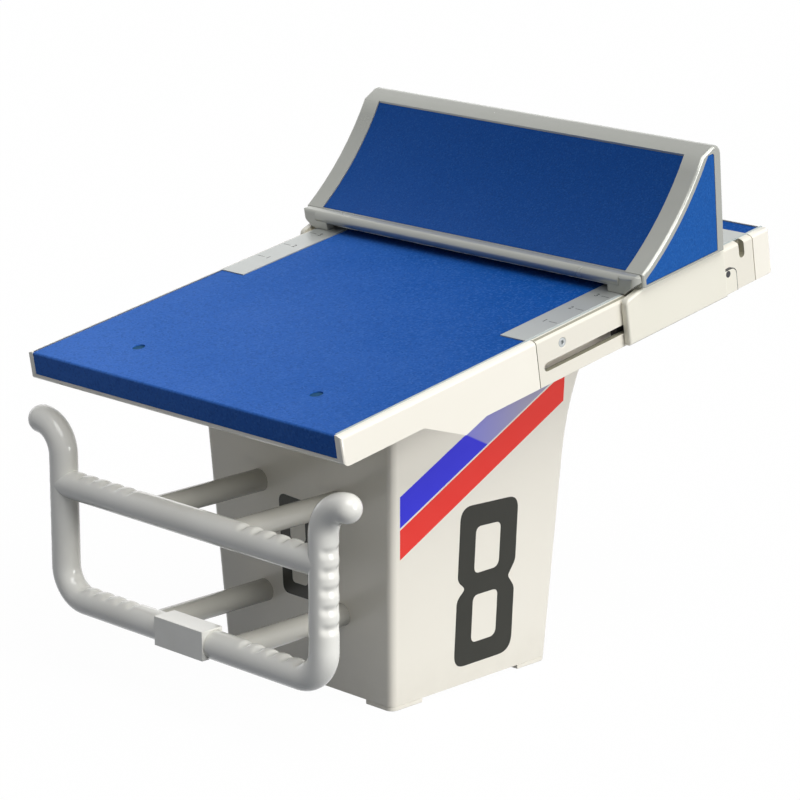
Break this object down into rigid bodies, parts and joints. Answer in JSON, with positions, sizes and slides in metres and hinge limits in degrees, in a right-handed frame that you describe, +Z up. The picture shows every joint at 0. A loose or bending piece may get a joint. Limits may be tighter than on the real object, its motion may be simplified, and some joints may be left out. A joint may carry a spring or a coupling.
{
  "type": "swimming starting block",
  "caption": "Pool starting block: tapered pedestal, pitched non-slip deck, sliding back footrest that indexes along the rails, and a tubular backstroke grip frame.",
  "frame": {"origin": "on the floor, under the middle of the block's bounding box", "axes": "+Z up, -Y towards the water, +X to the right seen from the water"},
  "size_m": [0.574, 0.7476, 0.6485],
  "materials": {
    "gelcoat": "gloss",
    "deck": "fine non-slip grit",
    "panel": "satin",
    "frame": "satin",
    "plate": "brushed",
    "steel": "brushed",
    "coated": "gloss",
    "dark": "matte"
  },
  "bodies": {
    "base": {"pedestal_shell": "gelcoat", "base_frame": "steel", "foot_pad_front_left": "gelcoat", "foot_pad_front_right": "gelcoat", "foot_pad_rear_left": "gelcoat", "foot_pad_rear_right": "gelcoat", "anchor_bolt_front_left": "steel", "anchor_bolt_front_right": "steel", "anchor_bolt_rear_left": "steel", "anchor_bolt_rear_right": "steel", "grip_loop": "coated", "grip_crossbar": "coated", "grip_sleeve": "coated", "clamp_plate_lower": "steel", "clamp_plate_upper": "steel", "standoff_lower_left": "coated", "standoff_lower_right": "coated", "standoff_upper_left": "coated", "standoff_upper_right": "coated", "platform_shell": "gelcoat", "deck_panel": "deck", "platform_pan": "gelcoat", "top_plate": "steel", "track_insert_left": "gelcoat", "track_insert_right": "gelcoat", "scale_plate_left": "plate", "scale_plate_right": "plate", "insert_screw_front_left": "steel", "insert_screw_front_right": "steel", "insert_screw_rear_left": "steel", "insert_screw_rear_right": "steel", "deck_plug_left": "deck", "deck_plug_right": "deck", "bearer_left": "steel", "bearer_right": "steel", "platform_bolt_front_left": "steel", "platform_bolt_front_right": "steel", "platform_bolt_rear_left": "steel", "platform_bolt_rear_right": "steel"},
    "footrest": {"wedge_frame": "frame", "footrest_panel": "panel", "nose_bar": "frame", "wedge_base": "steel", "back_panel": "frame", "side_panel_left": "panel", "side_panel_right": "panel", "skirt_left": "gelcoat", "skirt_right": "gelcoat", "glide_strip_left": "dark", "glide_strip_right": "dark", "slider_block_front_left": "dark", "slider_block_front_right": "dark", "slider_block_rear_left": "dark", "slider_block_rear_right": "dark"},
    "index_bail": {"index_bail": "steel", "release_handle": "dark"}
  },
  "joints": [
    {"name": "footrest_slide", "type": "slide", "parent": "base", "child": "footrest", "axis": [0, 0.9863, 0.165], "range_m": [-0.138, 0.046]},
    {"name": "index_bail_lift", "type": "slide", "parent": "footrest", "child": "index_bail", "axis": [0, -0.165, 0.9863], "range_m": [-0.0233, 0]}
  ]
}
